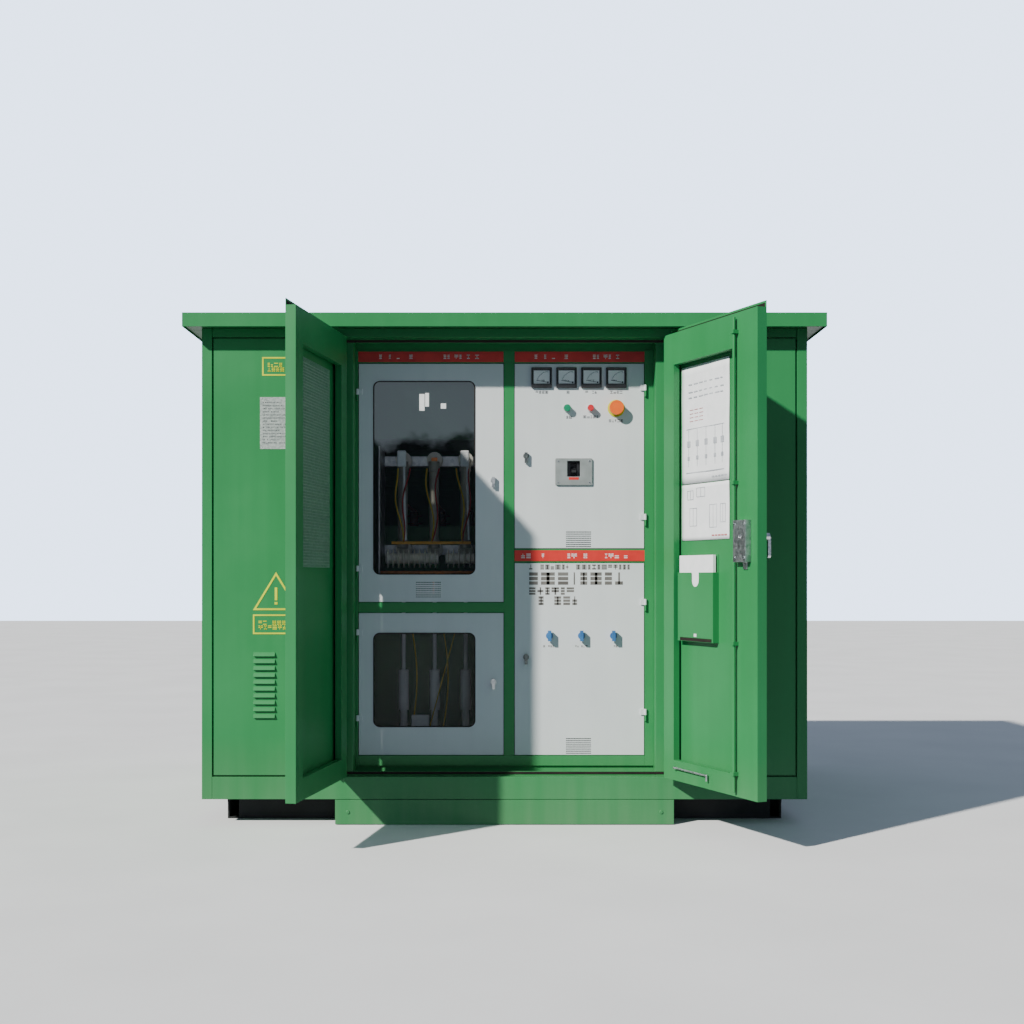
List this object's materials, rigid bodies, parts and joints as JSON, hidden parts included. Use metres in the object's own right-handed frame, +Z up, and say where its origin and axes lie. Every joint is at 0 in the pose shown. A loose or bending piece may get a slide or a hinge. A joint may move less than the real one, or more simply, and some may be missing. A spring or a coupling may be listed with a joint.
{
  "type": "pad-mounted transformer kiosk",
  "caption": "Green steel transformer kiosk with double front doors, inner switchgear doors, meters, breaker and an oil transformer behind.",
  "frame": {"origin": "centre of the four anchor holes, on the pad under the middle of the cabin", "axes": "+Z up, -Y towards the front doors, +X to the right seen from the front"},
  "size_m": [2.97, 3.1015, 2.422],
  "materials": {
    "green_paint": "satin",
    "dark_green_paint": "satin",
    "black_paint": "satin",
    "grey_paint": "satin",
    "tank_paint": "satin",
    "zinc": "satin",
    "core_steel": "satin",
    "red_label": "gloss",
    "copper_bar": "satin",
    "rubber_seal": "matt",
    "clear_glass": "polished",
    "paper_sheet": "matt",
    "brown_glaze": "gloss",
    "grey_resin": "matt",
    "fuse_body": "satin",
    "black_plastic": "satin",
    "grey_plastic": "satin",
    "cable_sleeve": "matt",
    "green_plastic": "gloss",
    "red_plastic": "gloss",
    "orange_plastic": "gloss",
    "blue_plastic": "gloss"
  },
  "bodies": {
    "enclosure": {"base_frame": "black_paint", "plinth_cover": "green_paint", "floor_pan": "dark_green_paint", "body_frame": "green_paint", "front_panels": "green_paint", "side_panels": "green_paint", "rear_panels": "green_paint", "roof_shell": "green_paint", "roof_frame": "dark_green_paint", "partition_wall": "dark_green_paint", "inner_frame": "green_paint", "labels": "red_label", "door_gasket": "rubber_seal", "frame_hinges": "green_paint", "transformer_tank": "tank_paint", "transformer_cover": "tank_paint", "transformer_core": "core_steel", "transformer_windings": "copper_bar", "bushings": "brown_glaze", "hv_switch_frame": "zinc", "hv_insulators": "grey_resin", "hv_fuses": "fuse_body", "cable_droppers": "cable_sleeve", "busbars": "copper_bar", "lv_breakers": "black_plastic"},
    "left_door": {"door_left_shell": "green_paint", "door_left_mesh": "green_paint"},
    "right_door": {"door_right_shell": "green_paint", "drawing_sheets": "paper_sheet", "document_pocket": "green_paint", "lock_case": "zinc"},
    "outer_handle": {"door_handle": "zinc"},
    "upper_rod": {"lock_rod_upper": "green_paint"},
    "lower_rod": {"lock_rod_lower": "green_paint"},
    "stay": {"stay_rod": "zinc"},
    "hv_upper_door": {"hv_door_upper": "grey_paint", "hv_window_upper": "clear_glass"},
    "hv_lower_door": {"hv_door_lower": "grey_paint", "hv_window_lower": "clear_glass"},
    "lv_upper_door": {"lv_door_upper": "grey_paint", "meter_cases": "black_plastic", "breaker_bezel": "grey_plastic"},
    "lv_lower_door": {"lv_door_lower": "grey_paint"},
    "pointer_1": {"needle_1": "black_plastic"},
    "pointer_2": {"needle_2": "black_plastic"},
    "pointer_3": {"needle_3": "black_plastic"},
    "pointer_4": {"needle_4": "black_plastic"},
    "green_button": {"button_green": "green_plastic"},
    "red_button": {"button_red": "red_plastic"},
    "emergency_stop": {"stop_button": "orange_plastic"},
    "toggle": {"breaker_toggle": "black_plastic"},
    "feeder_knob_1": {"knob_1": "blue_plastic"},
    "feeder_knob_2": {"knob_2": "blue_plastic"},
    "feeder_knob_3": {"knob_3": "blue_plastic"},
    "hv_upper_handle": {"hv_upper_latch": "zinc"},
    "hv_lower_handle": {"hv_lower_latch": "zinc"},
    "lv_upper_handle": {"lv_upper_latch": "zinc"},
    "lv_lower_handle": {"lv_lower_latch": "zinc"},
    "tap_selector": {"tap_knob": "black_plastic"},
    "switch_shaft": {"hv_switch_blades": "copper_bar"}
  },
  "joints": [
    {"name": "left_door_hinge", "type": "hinge", "parent": "enclosure", "child": "left_door", "pos_m": [-0.79, -1.114, 0.229], "axis": [0, 0, -1], "range_deg": [-99, 21]},
    {"name": "right_door_hinge", "type": "hinge", "parent": "enclosure", "child": "right_door", "pos_m": [0.79, -1.114, 0.229], "axis": [0, 0, 1], "range_deg": [-113, 7]},
    {"name": "outer_handle_turn", "type": "hinge", "parent": "right_door", "child": "outer_handle", "pos_m": [1.05062, -1.76382, 1.329], "axis": [0.9205, 0.3907, 0], "range_deg": [0, 90]},
    {"name": "upper_rod_slide", "type": "slide", "parent": "right_door", "child": "upper_rod", "axis": [0, 0, 1], "range_m": [0, 0.02]},
    {"name": "lower_rod_slide", "type": "slide", "parent": "right_door", "child": "lower_rod", "axis": [0, 0, -1], "range_m": [0, 0.02]},
    {"name": "stay_swing", "type": "hinge", "parent": "right_door", "child": "stay", "pos_m": [0.7857, -1.25488, 0.289], "axis": [-0.9205, -0.3907, 0], "range_deg": [0, 80]},
    {"name": "hv_upper_door_hinge", "type": "hinge", "parent": "enclosure", "child": "hv_upper_door", "pos_m": [-0.704, -0.952, 1.037], "axis": [0, 0, -1], "range_deg": [0, 90]},
    {"name": "hv_lower_door_hinge", "type": "hinge", "parent": "enclosure", "child": "hv_lower_door", "pos_m": [-0.704, -0.952, 0.305], "axis": [0, 0, -1], "range_deg": [0, 90]},
    {"name": "lv_upper_door_hinge", "type": "hinge", "parent": "enclosure", "child": "lv_upper_door", "pos_m": [0.674, -0.952, 1.294], "axis": [0, 0, 1], "range_deg": [0, 90]},
    {"name": "lv_lower_door_hinge", "type": "hinge", "parent": "enclosure", "child": "lv_lower_door", "pos_m": [0.674, -0.952, 0.305], "axis": [0, 0, 1], "range_deg": [0, 90]},
    {"name": "pointer_1_swing", "type": "hinge", "parent": "lv_upper_door", "child": "pointer_1", "pos_m": [0.2075, -0.949, 2.09], "axis": [0, 1, 0], "range_deg": [0, 80], "stiffness_Nm_per_rad": 0.001},
    {"name": "pointer_2_swing", "type": "hinge", "parent": "lv_upper_door", "child": "pointer_2", "pos_m": [0.3265, -0.949, 2.09], "axis": [0, 1, 0], "range_deg": [0, 80], "stiffness_Nm_per_rad": 0.001},
    {"name": "pointer_3_swing", "type": "hinge", "parent": "lv_upper_door", "child": "pointer_3", "pos_m": [0.4455, -0.949, 2.09], "axis": [0, 1, 0], "range_deg": [0, 80], "stiffness_Nm_per_rad": 0.001},
    {"name": "pointer_4_swing", "type": "hinge", "parent": "lv_upper_door", "child": "pointer_4", "pos_m": [0.5645, -0.949, 2.09], "axis": [0, 1, 0], "range_deg": [0, 80], "stiffness_Nm_per_rad": 0.001},
    {"name": "green_button_press", "type": "slide", "parent": "lv_upper_door", "child": "green_button", "axis": [0, 1, 0], "range_m": [0, 0.004], "stiffness_N_per_m": 400},
    {"name": "red_button_press", "type": "slide", "parent": "lv_upper_door", "child": "red_button", "axis": [0, 1, 0], "range_m": [0, 0.004], "stiffness_N_per_m": 400},
    {"name": "emergency_stop_press", "type": "slide", "parent": "lv_upper_door", "child": "emergency_stop", "axis": [0, 1, 0], "range_m": [0, 0.004], "stiffness_N_per_m": 400},
    {"name": "breaker_toggle_throw", "type": "hinge", "parent": "enclosure", "child": "toggle", "pos_m": [0.331, -0.917, 1.676], "axis": [-1, 0, 0], "range_deg": [0, 30]},
    {"name": "feeder_knob_1_turn", "type": "hinge", "parent": "lv_lower_door", "child": "feeder_knob_1", "pos_m": [0.215, -0.943, 0.878], "axis": [0, -1, 0], "range_deg": [0, 90]},
    {"name": "feeder_knob_2_turn", "type": "hinge", "parent": "lv_lower_door", "child": "feeder_knob_2", "pos_m": [0.368, -0.943, 0.878], "axis": [0, -1, 0], "range_deg": [0, 90]},
    {"name": "feeder_knob_3_turn", "type": "hinge", "parent": "lv_lower_door", "child": "feeder_knob_3", "pos_m": [0.521, -0.943, 0.878], "axis": [0, -1, 0], "range_deg": [0, 90]},
    {"name": "hv_upper_latch_turn", "type": "hinge", "parent": "hv_upper_door", "child": "hv_upper_handle", "pos_m": [-0.053, -0.943, 1.62095], "axis": [0, -1, 0], "range_deg": [0, 90]},
    {"name": "hv_lower_latch_turn", "type": "hinge", "parent": "hv_lower_door", "child": "hv_lower_handle", "pos_m": [-0.053, -0.943, 0.65726], "axis": [0, -1, 0], "range_deg": [0, 90]},
    {"name": "lv_upper_latch_turn", "type": "hinge", "parent": "lv_upper_door", "child": "lv_upper_handle", "pos_m": [0.103, -0.943, 1.738], "axis": [0, 1, 0], "range_deg": [0, 90]},
    {"name": "lv_lower_latch_turn", "type": "hinge", "parent": "lv_lower_door", "child": "lv_lower_handle", "pos_m": [0.103, -0.943, 0.77573], "axis": [0, 1, 0], "range_deg": [0, 90]},
    {"name": "tap_selector_turn", "type": "hinge", "parent": "enclosure", "child": "tap_selector", "pos_m": [-0.04, 0.4375, 1.2225], "axis": [0, 0, 1], "range_deg": [0, 120]},
    {"name": "switch_shaft_turn", "type": "hinge", "parent": "enclosure", "child": "switch_shaft", "pos_m": [0, -0.755, 1.182], "axis": [1, 0, 0], "range_deg": [0, 60]}
  ],
  "couplings": [
    {"joint": "upper_rod_slide", "follows": "outer_handle_turn", "m_per_rad": 0.0127},
    {"joint": "lower_rod_slide", "follows": "outer_handle_turn", "m_per_rad": 0.0127}
  ]
}
